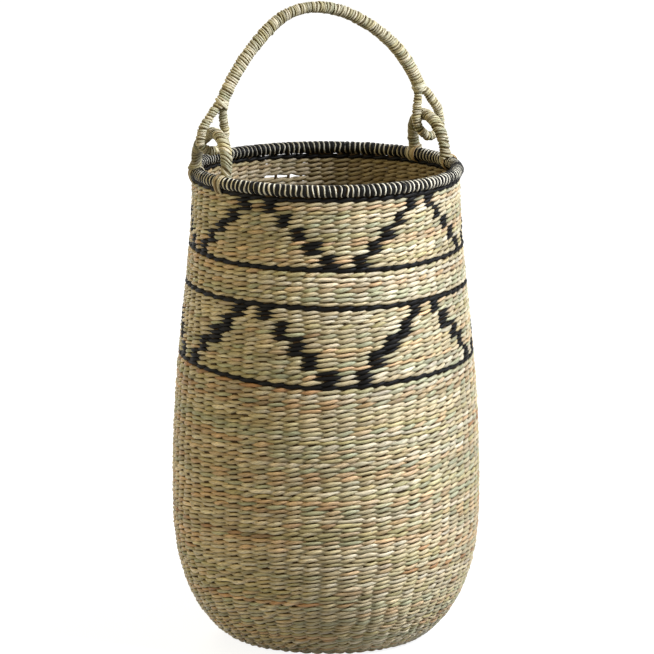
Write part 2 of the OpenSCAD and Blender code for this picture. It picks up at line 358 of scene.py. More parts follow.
def fibre_material(name, rough, streak, bump, specular):
    """Fibres with fine lines along the strand and slow patches of cooler and warmer colour."""
    mat = bpy.data.materials.new(name)
    mat.use_nodes = True
    nodes = mat.node_tree.nodes
    links = mat.node_tree.links
    shader = nodes["Principled BSDF"]
    shader.inputs["Roughness"].default_value = rough
    shader.inputs["Specular IOR Level"].default_value = specular
    tint = nodes.new("ShaderNodeAttribute")
    tint.attribute_name = "tint"
    rest = nodes.new("ShaderNodeAttribute")
    rest.attribute_name = "rest"
    fine = nodes.new("ShaderNodeVectorMath")
    fine.operation = "MULTIPLY"
    fine.inputs[1].default_value = FIBRE_SCALE
    links.new(rest.outputs["Vector"], fine.inputs[0])
    lines = nodes.new("ShaderNodeTexNoise")
    lines.inputs["Scale"].default_value = 1.0
    lines.inputs["Detail"].default_value = FIBRE_DETAIL
    links.new(fine.outputs["Vector"], lines.inputs["Vector"])
    spread = nodes.new("ShaderNodeMapRange")
    spread.inputs["From Min"].default_value = FIBRE_LOW
    spread.inputs["From Max"].default_value = FIBRE_HIGH
    spread.inputs["To Min"].default_value = 1 - streak
    spread.inputs["To Max"].default_value = 1 + streak * BRIGHT_SHARE
    links.new(lines.outputs["Fac"], spread.inputs["Value"])
    coarse = nodes.new("ShaderNodeVectorMath")
    coarse.operation = "MULTIPLY"
    coarse.inputs[1].default_value = PATCH_SCALE
    links.new(rest.outputs["Vector"], coarse.inputs[0])
    patch = nodes.new("ShaderNodeTexNoise")
    patch.inputs["Scale"].default_value = 1.0
    patch.inputs["Detail"].default_value = PATCH_DETAIL
    links.new(coarse.outputs["Vector"], patch.inputs["Vector"])
    warm = nodes.new("ShaderNodeMix")
    warm.data_type = "RGBA"
    warm.inputs["A"].default_value = COOL_PATCH
    warm.inputs["B"].default_value = WARM_PATCH
    links.new(patch.outputs["Fac"], warm.inputs["Factor"])
    toned = nodes.new("ShaderNodeMix")
    toned.data_type = "RGBA"
    toned.blend_type = "MULTIPLY"
    toned.inputs["Factor"].default_value = 1.0
    links.new(tint.outputs["Color"], toned.inputs["A"])
    links.new(warm.outputs["Result"], toned.inputs["B"])
    colour = nodes.new("ShaderNodeVectorMath")
    colour.operation = "SCALE"
    links.new(toned.outputs["Result"], colour.inputs[0])
    links.new(spread.outputs["Result"], colour.inputs["Scale"])
    links.new(colour.outputs["Vector"], shader.inputs["Base Color"])
    raised = nodes.new("ShaderNodeBump")
    raised.inputs["Strength"].default_value = bump
    raised.inputs["Distance"].default_value = BUMP_DEPTH
    links.new(lines.outputs["Fac"], raised.inputs["Height"])
    links.new(raised.outputs["Normal"], shader.inputs["Normal"])
    return mat


weave_mat = fibre_material("twined_seagrass", rough=0.42, streak=0.45, bump=0.7, specular=0.25)
wrap_mat = fibre_material("wound_seagrass", rough=0.5, streak=0.36, bump=0.6, specular=0.2)
black_mat = fibre_material("black_seagrass", rough=0.5, streak=0.36, bump=0.6, specular=0.1)
core_mat = fibre_material("fibre_bundle", rough=0.75, streak=0.35, bump=0.6, specular=0.25)


# Colours of the stitches in one row: each strand changes where a new length was added
KINDS = np.array([STRAW, PALE, OLIVE, GREEN, TAN, BROWN])
LOW_ODDS = np.array([0.34, 0.14, 0.18, 0.14, 0.14, 0.06])
HIGH_ODDS = np.array([0.42, 0.28, 0.11, 0.1, 0.09, 0.0])
BROWN_MORE = np.array([0.0, 0.0, 0.0, 0.0, 0.04, 0.07])
BROWN_Z = 122.0
BROWN_SPREAD = 26.0
NEW_LENGTH = 0.09
NEW_SECOND = 0.13
SECOND_SHARE = 0.7
MIX_MOST = 0.35
STITCH_LEVEL = 0.95
STITCH_VARY = 0.11
ROW_VARY = 0.05
INK_RANGE = (0.8, 1.3)
# Shares of a strand's own colour and of the painted shade on its inner side
INNER_OWN = 0.42
INNER_BROWN = 0.38


def runs(odds, columns, change):
    """A kind for each column, which goes on until a new length begins."""
    new = rng.random(columns) < change
    new[0] = True
    kinds = KINDS[rng.choice(len(KINDS), columns, p=odds)]
    return kinds[np.maximum.accumulate(np.where(new, np.arange(columns), 0))]


def row_colours(height, columns):
    """A colour for each stitch of a row. The two strands of a row come from different lengths."""
    share = min(max(height / WALL_Z, 0), 1)
    odds = LOW_ODDS + (HIGH_ODDS - LOW_ODDS) * share
    odds = odds + BROWN_MORE * math.exp(-((height - BROWN_Z) / BROWN_SPREAD) ** 2)
    odds = odds / odds.sum()
    colours = runs(odds, columns, NEW_LENGTH)
    second = np.arange(columns) % 2 == rng.integers(2)
    alone = runs(odds, columns, NEW_SECOND)
    colours[second] = (1 - SECOND_SHARE) * colours[second] + SECOND_SHARE * alone[second]
    mixed = rng.uniform(0.0, MIX_MOST, (columns, 1))
    other = KINDS[rng.choice(len(KINDS), columns, p=odds)]
    colours = colours * (1 - mixed) + other * mixed
    return colours * rng.normal(STITCH_LEVEL, STITCH_VARY, (columns, 1)) * rng.normal(1.0, ROW_VARY)


# Two rows of the back wall stand a little apart, and light comes through between them
SLIT_TURN = math.radians(82)
SLIT_HALF = math.radians(5.6)
SLIT_H = 3.0
SLIT_Z = 405.0
SLIT_FADE = 9.0
slit_l = length_at(SLIT_Z)

# Two waves of the rows round the basket, which fade in above the base and out below the rim
SLOW_WAVE = 0.5
SLOW_REACH = 60
FAST_WAVE = 0.35
FAST_REACH = 37
FADE_IN = 40
FADE_OUT = 30
WAVE_AT_RIM = 0.3


def wander(turn, length):
    """Rows wander a little up and down all round, and part at the slit."""
    top = length_at(WALL_Z - COURSE_H)
    waves = SLOW_WAVE * np.sin(2 * turn + length / SLOW_REACH)
    waves = waves + FAST_WAVE * np.sin(5 * turn - length / FAST_REACH)
    fade = np.interp(length, [BASE_R, BASE_R + FADE_IN, top - FADE_OUT, top], [0, 1, 1, WAVE_AT_RIM])
    slack = np.clip(1.5 - np.abs(turn % (2 * np.pi) - SLIT_TURN) / SLIT_HALF, 0, 0.5) * 2
    split = np.sign(length - slit_l) * SLIT_H / 2 * np.exp(-np.abs(length - slit_l) / SLIT_FADE)
    return waves * fade + slack * split


# Rows rise towards both sides, and the plain band between the two upper lines is widest at the front
RISE_Z = [60.0, LOW_LINE_Z, MID_LINE_Z, HIGH_LINE_Z, WALL_Z - COURSE_H]
SIDE_RISE = [0.0, 10.5, 3.5, 7.5, 1.0]
FRONT_RISE = [0.0, 0.0, 0.0, 4.6, 0.0]
ROW_DROP = [0.0, 0.0, 2.5, 0.0, 0.0]
FRONT_SPAN = math.radians(46)


def row_rise(turn, length):
    """How far a row stands above its even place."""
    away = turned(turn)
    marks = [length_at(z) for z in RISE_Z]
    rise = np.interp(length, marks, SIDE_RISE) * np.sin(away) ** 2
    rise = rise + np.interp(length, marks, FRONT_RISE) * np.exp(-(away / FRONT_SPAN) ** 2)
    return rise - np.interp(length, marks, ROW_DROP)


# The stakes are not evenly spaced: at the front they stand further apart
DRIFT_AT = np.radians([-180, -110, -65, -45, -25, -5, 20, 35, 50, 70, 110, 180])
DRIFT_BY = np.radians([0, 0, -4, -1, 0, 1.2, 4.4, 4.5, 2.4, 1, 0, 0])
DRIFT_FINE = np.radians(np.arange(-180, 181))
DRIFT_SOFT = 6.0
soft = np.exp(-(np.arange(-15, 16) / DRIFT_SOFT) ** 2)
drift_soft = np.convolve(np.interp(DRIFT_FINE, DRIFT_AT, DRIFT_BY), soft / soft.sum(), "same")
DRIFT_HEIGHTS = [0, 120, 290, WALL_Z]
DRIFT_GAINS = [1.4, 1.35, 1.0, 0.9]
STAKE_SLIP = math.radians(0.3)
stake_slip = rng.normal(0, STAKE_SLIP, COLUMNS)


def stake_turn(turn, height):
    """Angle at which a stake stands that would be at turn if all were evenly spaced."""
    away = turned(turn)
    gain = np.interp(height, DRIFT_HEIGHTS, DRIFT_GAINS)
    slip = np.interp(turn * COLUMNS / (2 * np.pi) % COLUMNS, np.arange(COLUMNS + 1),
                     np.append(stake_slip, stake_slip[0]))
    return turn + gain * np.interp(away, DRIFT_FINE, drift_soft) + slip


# Painted light and shade round the wall: strands of one side are a little paler and those beside it a little
# darker
LIGHT_SECTOR_AT = np.radians([-180, 0, 18, 33, 45, 58, 72, 120, 180])
LIGHT_SECTOR_BY = np.array([1, 1, 1.06, 1.1, 1.03, 0.86, 0.79, 1, 1])

# Small errors of the hand in each stitch and row, and the form of a stitch
STITCH_SLIP = 0.14
ROW_SLIP = 0.06
REACH_VARY = 0.14
BULGE_VARY = 0.2
FAT_VARY = 0.1
SWAY_VARY = 0.28
SQUARE_SHARE = 0.6
SQUARE_RATE = 1.7
THIN_CROSS = 0.12
# Painted shade where a strand crosses its partner deep in the wall
CROSS_SHADE = 0.25
ROW_STRIPS = 4


def weave_row(piece, length, pitch, columns, outer, inner, steps=STEPS, fuller=1.0):
    """Two strands twined around the stakes: each passes over one stake and behind the next."""
    n = columns * steps
    turn = 2 * np.pi * np.arange(n) / n
    spot = turn
    if columns == COLUMNS:
        spot = stake_turn(turn, float(path_at(length)[1]))
    at = turn * columns / (2 * np.pi)
    slip = rng.normal(0, STITCH_SLIP, columns) + rng.normal(0, ROW_SLIP)
    at = at + np.interp(at % columns, np.arange(-1, columns + 1) + 0.5,
                        np.concatenate([slip[-1:], slip, slip[:1]]))
    reach = (1 + rng.normal(0, REACH_VARY, columns))[np.floor(at).astype(int) % columns]
    rise_here = row_rise(spot, length)
    spread = 1 + (row_rise(spot, length + pitch / 2) - row_rise(spot, length - pitch / 2)) / pitch
    for parity in (0, 1):
        phase = np.pi * (at + parity)
        front = np.cos(phase)
        rise = np.sin(phase)
        own = (2 * np.round((at - parity) / 2).astype(int) + parity) % columns
        bulge = rng.normal(0, BULGE_VARY, columns)[own] * front ** 2
        fat = 1 + rng.normal(0, FAT_VARY, columns)[own] * front ** 2
        sway = rng.normal(0, SWAY_VARY, columns)[own] * front ** 2
        r, z, tr, tz = path_at(length + wander(spot, length) + rise_here)
        square = np.tanh(SQUARE_RATE * front) / math.tanh(SQUARE_RATE)
        depth = -MID_DEPTH + SWING * ((1 - SQUARE_SHARE) * front + SQUARE_SHARE * square) + bulge
        lift = LIFT * pitch * rise * reach + sway
        pr = r + tz * depth + tr * lift
        pz = z - tr * depth + tz * lift
        cos = np.cos(spot)
        sin = np.sin(spot)
        centre = np.stack([pr * cos, pr * sin, pz], -1)
        out = np.stack([tz * cos, tz * sin, -tr], -1)
        half_w = pitch * (CROSS_W + (FRONT_W - CROSS_W) * front ** 2) * fat * fuller * spread
        half_t = STRAND_T * (1 - THIN_CROSS + THIN_CROSS * front ** 2)
        own_in = (2 * np.floor((at - parity) / 2).astype(int) + 1 + parity) % columns
        # Painted shade: a strand is darker where it crosses deep in the wall
        cross_shade = 1 - CROSS_SHADE * (1 - np.abs(front)[:, None]) ** 2
        # Painted light and shade by where a stitch stands round the wall
        pale = np.interp(turned(spot), LIGHT_SECTOR_AT, LIGHT_SECTOR_BY)[:, None]
        piece.strand(centre, out, half_w, half_t, outer[own] * cross_shade * pale, closed=True,
                     segments=ROW_STRIPS, twist=STRAND_TWIST, tint_in=inner[own_in] * cross_shade, edge=GAP_SHADE)


# How far the blocks of the zig-zag overlap, how uneven the rows are and how full the black ones
BLOCK_OVERLAP = 0.3
PITCH_VARY = 0.08
BLACK_FULLER = 1.1


def zigzag(outer, row, rows):
    """Turns the stitches of one row black where the zig-zag passes."""
    column = np.arange(COLUMNS)
    from_peak = np.abs((column - PEAK_COLUMN + PERIOD // 2) % PERIOD - PERIOD // 2)
    blocks = PERIOD // 2 - 1
    from_top = rows - row - 0.5
    over = from_top > rows * (from_peak - 1) / blocks - BLOCK_OVERLAP
    under = from_top < rows * from_peak / blocks + BLOCK_OVERLAP
    inked = over & under & (from_peak > 0) & (from_peak <= blocks)
    outer[inked] = INK * rng.uniform(*INK_RANGE, (inked.sum(), 1))
    return outer


def band(name, low, high, nodes, style="plain", columns=COLUMNS, steps=STEPS, row_pitch=ROW_PITCH):
    """Rows between two lengths along the wall, in pieces of a few rows each."""
    rows = max(1, round((high - low) / row_pitch))
    pitches = rng.normal(1, PITCH_VARY, rows)
    pitches *= (high - low) / pitches.sum()
    ends = low + np.cumsum(pitches)
    groups = math.ceil(rows / ROWS_PER_PIECE)
    fuller = BLACK_FULLER if style == "black" else 1.0
    for g in range(groups):
        piece = Piece()
        for row in range(rows * g // groups, rows * (g + 1) // groups):
            pitch = pitches[row]
            length = ends[row] - pitch / 2
            height = float(path_at(length)[1])
            outer = row_colours(height, columns)
            # Painted shade: the inner side of each strand is darker and browner
            inner = row_colours(height, columns) * INNER_OWN + INSIDE_SHADE * INNER_BROWN
            if style == "black":
                outer = INK * rng.uniform(*INK_RANGE, (columns, 1))
                inner = outer
            if style == "zigzag":
                outer = zigzag(outer, row, rows)
            weave_row(piece, length, pitch, columns, outer, inner, steps, fuller)
        label = name if groups == 1 else f"{name}_{g + 1}"
        piece.build(label, "basket", weave_mat, nodes, black_mat)


low_l = length_at(LOW_LINE_Z)
mid_l = length_at(MID_LINE_Z)
high_l = length_at(HIGH_LINE_Z)
top_l = length_at(WALL_Z)
half_course = COURSE_H / 2
band("base_centre_rows", START_HOLE, START_R, ["base_start"], columns=START_COLUMNS)
band("base_rows", START_R, BASE_R, ["base_weave"], steps=4)
band("foot_rows", BASE_R, length_at(TURN_Z), ["foot_weave"])
band("heel_rows", length_at(TURN_Z), length_at(HEEL_Z), ["heel_weave"])
band("belly_rows", length_at(HEEL_Z), length_at(BELLY_Z), ["belly_weave"])
band("lower_wall_rows", length_at(BELLY_Z), low_l - half_course, ["lower_wall_weave", "inner_weave"],
     row_pitch=4.25)
band("black_line_low", low_l - half_course, low_l + half_course, ["black_course_low"],
     "black")
band("lower_zigzag_rows", low_l + half_course, mid_l - half_course, ["lower_zigzag_band"],
     "zigzag", row_pitch=4.3)
band("black_line_mid", mid_l - half_course, mid_l + half_course, ["black_course_mid"],
     "black")
band("plain_rows", mid_l + half_course, high_l - half_course, ["plain_band"], row_pitch=3.4)
band("black_line_high", high_l - half_course, high_l + half_course, ["black_course_high"],
     "black")
band("upper_zigzag_rows", high_l + half_course, top_l - COURSE_H, ["upper_zigzag_band"],
     "zigzag", row_pitch=4.15)
band("black_line_top", top_l - COURSE_H, top_l, ["black_course_top"], "black")


# Stakes inside the wall and under the base: how many, their ends along the wall, and points on each
STAKE_SETS = ((COLUMNS, START_R - 1, top_l + 4, 60), (START_COLUMNS, 2.0, START_R + 3, 12))
STAKE_HALF_W = 6.6
STAKE_FILL = 0.47
STAKE_NEAREST = 4
STAKE_TWIST = 0.02
STAKE_RANGE = (0.8, 1.1)

# The stakes beside the slit narrow towards it
SLIT_NEAR = 2.2
NARROW_Z = [360, 385, 420]
NARROW_HALF_W = [STAKE_HALF_W, 1.4, 1.4]


def stakes():
    piece = Piece()
    for count, low, high, points in STAKE_SETS:
        for k in range(count):
            length = np.linspace(low, high, points)
            r, z, tr, tz = path_at(length)
            z = z + np.maximum(length - top_l, 0)
            turn = 2 * np.pi * k / count + 0 * r
            if count == COLUMNS:
                turn = stake_turn(turn, z)
            pr = r - tz * STAKE_DEPTH
            pz = z + tr * STAKE_DEPTH
            centre = np.stack([pr * np.cos(turn), pr * np.sin(turn), pz], -1)
            out = np.stack([tz * np.cos(turn), tz * np.sin(turn), -tr], -1)
            wide = np.minimum(STAKE_HALF_W, STAKE_FILL * 2 * np.pi * np.maximum(pr, STAKE_NEAREST) / count)
            if abs(turn[-1] - SLIT_TURN) < SLIT_NEAR * SLIT_HALF:
                wide = np.minimum(wide, np.interp(z, NARROW_Z, NARROW_HALF_W))
            tint = CORE * rng.uniform(*STAKE_RANGE)
            piece.strand(centre, out, wide, STAKE_T, tint, sides=FEW_SIDES, twist=STAKE_TWIST)
    piece.build("stake_strips", "basket", core_mat, ["stakes"])


stakes()


# The pale strand of the rim is wider in some places, and both strands carry painted light and shade along
# the rim: paler in some places, darker at the back
RIM_AT = np.radians([-180, -110, -72, -48, -15, 5, 25, 60, 78, 104, 122, 180])
RIM_LIGHT_PAINT = np.array([0.6, 0.8, 1.0, 1.12, 1.12, 0.95, 0.95, 0.98, 1.1, 1.1, 0.75, 0.6])
RIM_WIDE = np.array([1.1, 0.65, 0.65, 1.5, 1.55, 1.0, 1.4, 1.3, 1.9, 1.9, 1.2, 1.1])

# Rim: a bundle with a black and a pale strand wound around it
RIM_CORE_R = 4.2
RIM_POINTS = 240
RIM_STEPS = 20
RIM_STRIPS = 12
RIM_SLIP = 0.055
RIM_WOBBLE = 0.085
RIM_FAT = 0.15
RIM_ROUGH = 0.16
RIM_RANGE = (0.8, 1.15)
RIM_MID = np.array([0, 0, RIM_Z])
UP = np.array([0, 0, 1.0])
FIBRE_TWIST = 0.1

# Each strand's place in the pair, half width, half thickness, depth and colour
RIM_STRANDS = ((0.0, 1.9, 0.85, 0.0, INK), (0.53, 0.7, 0.85, 0.25, WHITE))


def rim():
    piece = Piece()
    out = outward(np.linspace(0, 2 * np.pi, RIM_POINTS, endpoint=False))
    piece.strand(out * RIM_R + RIM_MID, out, RIM_CORE_R, RIM_CORE_R, CORE, closed=True, sides=12, segments=4,
                 twist=FIBRE_TWIST)
    piece.build("rim_bundle", "basket", core_mat, ["rim_hoop"])
    piece = Piece()
    step = np.arange(RIM_PAIRS * RIM_STEPS) / RIM_STEPS
    own = np.floor(step).astype(int) % RIM_PAIRS
    pairs = np.arange(RIM_PAIRS + 1)
    wind = -2 * np.pi * step
    wobble = RIM_WOBBLE * np.sin(2 * wind) * (1 + np.sin(1.7 * step) + np.sin(0.61 * step))
    for offset, half_w, half_t, sunk, tint in RIM_STRANDS:
        slip = rng.normal(0, RIM_SLIP, RIM_PAIRS)
        slip = np.interp(step, pairs, np.append(slip, slip[0]))
        around = (step + offset + slip + wobble) * 2 * np.pi / RIM_PAIRS
        fat = np.interp(step, pairs, 1 + RIM_FAT * np.append(rng.normal(0, 1, RIM_PAIRS), 0))
        out_h = outward(around)
        out = out_h * np.cos(wind)[:, None] + UP * np.sin(wind)[:, None]
        rough = np.interp(step, pairs, np.append(rng.normal(0, RIM_ROUGH, RIM_PAIRS), 0))
        centre = out_h * RIM_R + RIM_MID + out * (RIM_TUBE_R - half_t - sunk + rough)[:, None]
        shade = rng.uniform(*RIM_RANGE, RIM_PAIRS)[own][:, None]
        away = turned(around)
        # Painted light and shade by the place on the rim
        shade = shade * np.interp(away, RIM_AT, RIM_LIGHT_PAINT)[:, None]
        wide = 1 if tint is INK else np.interp(away, RIM_AT, RIM_WIDE)
        piece.strand(centre, out, half_w * fat * wide, half_t, tint * shade, closed=True, sides=FEW_SIDES,
                     segments=RIM_STRIPS, twist=FIBRE_TWIST)
    piece.build("rim_binding", "basket", wrap_mat, ["rim_wrap"], black_mat)


rim()


# A strand wound around a bent bundle, turn beside turn, and the small errors in it
KNOTS = 5
WIND_STEPS = 18
WIND_SLIP = 0.1
WIND_TILT = 0.2
WIND_ROUGH = 0.26
WIND_FAT = 0.24
WIND_LEVEL = 0.96
WIND_FILL = 0.48
WIND_TWIST = 0.15
OWN_COLOUR = 0.7
TURNS_PER_STRIP = 12
BUNDLE_STEP = 2.5
BUNDLE_SIDES = 10
THIN_TWIST = 0.05
WRAP_COLOURS = [REED, REED * 0.8, 0.5 * (REED + PALE), OLIVE * 0.9, 0.45 * (STRAW + REED), PALE * 0.95,
                GREEN * 0.85]


def wound(piece, line, length, radius, pitch, half_t, hand=1, level=None, slant=0.0, vary=0.1, edge=0.62):
    """Winds a strand around a line. level gives the painted light and shade of its turns, and slant the lean
    of its turns.
    """
    turns = length / pitch
    step = np.arange(int(turns * WIND_STEPS) + 1) / WIND_STEPS
    whole = int(math.ceil(turns)) + 2
    slip = np.interp(step, np.arange(whole), rng.normal(0, WIND_SLIP, whole))
    tilt = np.interp(step, np.arange(whole), rng.normal(0, WIND_TILT, whole))
    skew = np.interp(step, np.arange(whole), rng.normal(0, WIND_TILT, whole))
    tilt = tilt * np.cos(2 * np.pi * step) + skew * np.sin(2 * np.pi * step)
    wind = hand * 2 * np.pi * step
    tilt = tilt + slant * np.sin(wind - CAM_AZ)
    s = np.clip((step + slip + tilt) * pitch, 0, length)
    place, away, across = line(s)
    out = away * np.cos(wind)[:, None] + across * np.sin(wind)[:, None]
    knots = np.arange(KNOTS * whole)
    rough = np.interp(step * KNOTS, knots, rng.normal(0, WIND_ROUGH, KNOTS * whole))
    fat = np.interp(step * KNOTS, knots, 1 + rng.normal(0, WIND_FAT, KNOTS * whole))
    centre = place + out * (radius(s) - half_t + rough)[:, None]
    kind = np.array(WRAP_COLOURS)[rng.integers(0, len(WRAP_COLOURS), whole)]
    kind = OWN_COLOUR * kind + (1 - OWN_COLOUR) * np.mean(WRAP_COLOURS, axis=0)
    shade = rng.normal(WIND_LEVEL, vary, (whole, 1))
    own = np.floor(step).astype(int)
    if level is not None:
        shade = shade * level(np.arange(whole) * pitch)[:, None]
    # Painted shade darkens the sides of each turn, in the gaps between turns
    piece.strand(centre, out, pitch * WIND_FILL * fat, half_t, (kind * shade)[own], sides=FEW_SIDES,
                 segments=max(1, int(turns / TURNS_PER_STRIP)), twist=WIND_TWIST, edge=edge)


def bundle(piece, line, length, radius, thinner):
    """The bundle inside a winding, thinner than its radius by the given length."""
    s = np.linspace(0, length, int(length / BUNDLE_STEP))
    place, away, _ = line(s)
    thick = radius(s) - thinner
    piece.strand(place, away, thick, thick, BUNDLE, sides=BUNDLE_SIDES, twist=FIBRE_TWIST)


# Ears: bent bundles that stand on the rim
EAR_FOOT = 4.5
BACK_FOOT = 2.5
FOOT_REACH = 18.0
FOOT_POWER = 1.5
LEG_INSET = 0.7
INSET_SPREAD = 6.0
EAR_THINNER = 1.2
EAR_PITCH = 2.7
EAR_HALF_T = 1.05
EAR_VARY = 0.18
# Painted shade on the sides of the turns of the ears' windings
EAR_GAP_SHADE = 0.8
LEFT_SLANT = 1.5
RIGHT_SLANT = 0.5

# Thickness by the way from either end, and painted shade that darkens the back leg, less towards the front
EAR_FROM_END = [0, 3, 6, 12, 19, 27, 38, 52]
EAR_THICK = [6.8, 5.9, 5.2, 5.2, 5.6, 5.65, 5.45, 5.2]
EAR_SHADE_AT = [20.0, 60.0]
EAR_SHADE = [0.66, 1.02]

foot_x = math.sqrt(RIM_R ** 2 - EAR_R ** 2)
ear_straight = EAR_LEG - EAR_FOOT
ear_len = math.pi * EAR_R + 2 * ear_straight


def ear_line(side):
    """The line of an ear from its back foot over the bend to its front foot."""
    def line(s):
        turn = np.clip(s - ear_straight, 0, math.pi * EAR_R) / EAR_R
        low = np.minimum(s - ear_straight, 0) + np.minimum(ear_len - ear_straight - s, 0)
        y = EAR_R * np.cos(turn)
        z = EAR_LEG + EAR_R * np.sin(turn) + low
        y = y - np.where(y < 0, 0.0, BACK_FOOT) * np.clip(1 - z / (EAR_LEG + FOOT_REACH), 0, 1) ** FOOT_POWER
        lean = side * EAR_LEAN
        inset = side * LEG_INSET * np.exp(-((z - EAR_LEG) / INSET_SPREAD) ** 2)
        x = side * foot_x - z * math.sin(lean) - inset
        place = np.stack([x, EAR_SHIFT + y, RIM_Z + z * math.cos(lean)], -1)
        away = np.stack([-np.sin(turn) * math.sin(lean), np.cos(turn), np.sin(turn) * math.cos(lean)], -1)
        across = np.broadcast_to(np.array([math.cos(lean), 0, math.sin(lean)]), place.shape)
        return place, away, across
    return line


def ear_radius(s):
    from_end = np.minimum(s, ear_len - s)
    return np.interp(from_end, EAR_FROM_END, EAR_THICK)


# Painted shade: the back leg of an ear is darker
def ear_back_shade(s):
    return np.interp(s, EAR_SHADE_AT, EAR_SHADE)


for label, side in (("left", -1), ("right", 1)):
    piece = Piece()
    bundle(piece, ear_line(side), ear_len, ear_radius, EAR_THINNER)
    piece.build(f"{label}_ear_bundle", "basket", core_mat, [f"{label}_ear_core"])
    piece = Piece()
    wound(piece, ear_line(side), ear_len, ear_radius, EAR_PITCH, EAR_HALF_T, hand=side, level=ear_back_shade,
          slant=LEFT_SLANT if side < 0 else RIGHT_SLANT, vary=EAR_VARY, edge=EAR_GAP_SHADE)
    piece.build(f"{label}_ear_winding", "basket", wrap_mat, [f"{label}_ear_wrap"])


# Lashings: strips that cross over the rim at the feet of the ears, and hang a little below it outside
LASH_DROP = 4.5
LASH_PULL = 1.3
LASH_FOLLOW = 0.8
LASH_POINTS = 33
LASH_SLIP = 0.4
LASH_LIFT = 0.45
LASH_LAYER = 0.3
LASH_HALF_W = 1.5
LASH_HALF_T = 0.6
LASH_RANGE = (0.7, 0.95)

# Slant, shift and colour of each strip
LASH_STRIPS = ((2.0, -1.3, LASH), (-2.0, 1.2, STRAW), (1.0, 2.6, TIE), (-1.0, -2.8, LASH))


def lashing(label, side, end):
    """The strips at one foot of an ear. end is 1 at the back and -1 at the front."""
    piece = Piece()
    shifted = EAR_SHIFT + end * EAR_R - (0.0 if end < 0 else LASH_FOLLOW * BACK_FOOT)
    mid = math.atan2(shifted, side * foot_x)
    step = np.linspace(0, 1, LASH_POINTS)
    wind = 2 * np.pi * step + math.pi * 1.5
    fall = (np.minimum(np.sin(wind), 0) * np.clip(2 * np.cos(wind), 0, 1))[:, None]
    for strip, (slant, shift, colour) in enumerate(LASH_STRIPS):
        drift = shift + slant * np.sin(np.pi * step) ** 2 * np.sign(step - 0.5) + rng.normal(0, LASH_SLIP)
        out_h = outward(mid + drift / RIM_R)
        out = out_h * np.cos(wind)[:, None] + UP * np.sin(wind)[:, None]
        lift = RIM_TUBE_R + LASH_LIFT + LASH_LAYER * strip
        drop = UP * LASH_DROP * fall + out_h * LASH_PULL * fall
        centre = out_h * RIM_R + RIM_MID + out * lift + drop
        tint = colour * rng.uniform(*LASH_RANGE)
        piece.strand(centre, out, LASH_HALF_W, LASH_HALF_T, tint, sides=FEW_SIDES, twist=THIN_TWIST)
    piece.build(f"{label}_lashing", "basket", wrap_mat, [label])


for label, side in (("left", -1), ("right", 1)):
    lashing(f"{label}_ear_lash_front", side, -1)
    lashing(f"{label}_ear_lash_back", side, 1)


# Grip: three bends, as in the solid
top_c = np.array([0.0, RIM_Z + GRIP_RISE - TOP_BEND_R])
side_c = top_c - (SIDE_BEND_R - TOP_BEND_R) * np.array([math.sin(TOP_BEND), math.cos(TOP_BEND)])
top_len = 2 * TOP_BEND * TOP_BEND_R
side_len = (GRIP_END - TOP_BEND) * SIDE_BEND_R
grip_len = top_len + 2 * side_len

# Small bends of the grip and of its end loops, as in the photograph
GRIP_LEAN = 10.0
FORK_SHIFT = 3.0
FORK_FADE = 30.0
LEFT_SHIFT = 2.6
LEFT_FADE = 40.0
LEFT_FLAT = 0.6
LEFT_IN = 0.8
RIGHT_TUCK = 3.0
TUCK_DOWN = 8.0
TUCK_SPREAD = 6.0

# Thickness and brightness along the grip, both less near its middle: the brightness is painted light on the
# limbs and painted shade near the middle
GRIP_FULLER = 0.1
GRIP_THIN = 0.75
THIN_AT = 0.53
THIN_SPREAD = 45.0
GRIP_UNEVEN = 0.25
UNEVEN_SHORT = 17.0
UNEVEN_LONG = 41.0
GRIP_BRIGHT = 1.07
GRIP_DARKER = 0.22
DARKER_SPREAD = 60.0
GRIP_THINNER = 1.3
GRIP_PITCH = 2.45
LOOP_PITCH = 2.4
HALF_WIND_T = 1.0


def grip_line(s):
    """The line of the grip from its right fork to its left."""
    turn = np.where(s < side_len, np.pi / 2 - GRIP_END + s / SIDE_BEND_R,
                    np.where(s < side_len + top_len, np.pi / 2 - TOP_BEND + (s - side_len) / TOP_BEND_R,
                             np.pi / 2 + TOP_BEND + (s - side_len - top_len) / SIDE_BEND_R))
    on_top = (s >= side_len) & (s < side_len + top_len)
    bend = np.where(on_top, TOP_BEND_R, SIDE_BEND_R)
    cx = np.where(on_top, 0.0, np.where(s < side_len, side_c[0], -side_c[0]))
    cz = np.where(on_top, top_c[1], side_c[1])
    slide = -GRIP_LEAN * np.sin(np.pi * np.clip(s / grip_len, 0, 1)) ** 4
    slide = slide - FORK_SHIFT * np.exp(-s / FORK_FADE)
    slide = slide + (LEFT_SHIFT + LEFT_IN) * np.exp(-(grip_len - s) / LEFT_FADE)
    place = np.stack([cx + bend * np.cos(turn) + slide, EAR_SHIFT + 0 * turn, cz + bend * np.sin(turn)], -1)
    away = np.stack([np.cos(turn), 0 * turn, np.sin(turn)], -1)
    across = np.broadcast_to(np.array([0.0, -1.0, 0.0]), place.shape)
    return place, away, across


def grip_radius(s):
    thin = GRIP_THIN * np.exp(-((s - grip_len * THIN_AT) / THIN_SPREAD) ** 2)
    return GRIP_R + GRIP_FULLER - thin + GRIP_UNEVEN * np.sin(s / UNEVEN_SHORT) * np.sin(s / UNEVEN_LONG)


# Painted light on the limbs of the grip and painted shade near its top
def grip_light_and_shade(s):
    return GRIP_BRIGHT - GRIP_DARKER * np.exp(-((s - grip_len / 2) / DARKER_SPREAD) ** 2)


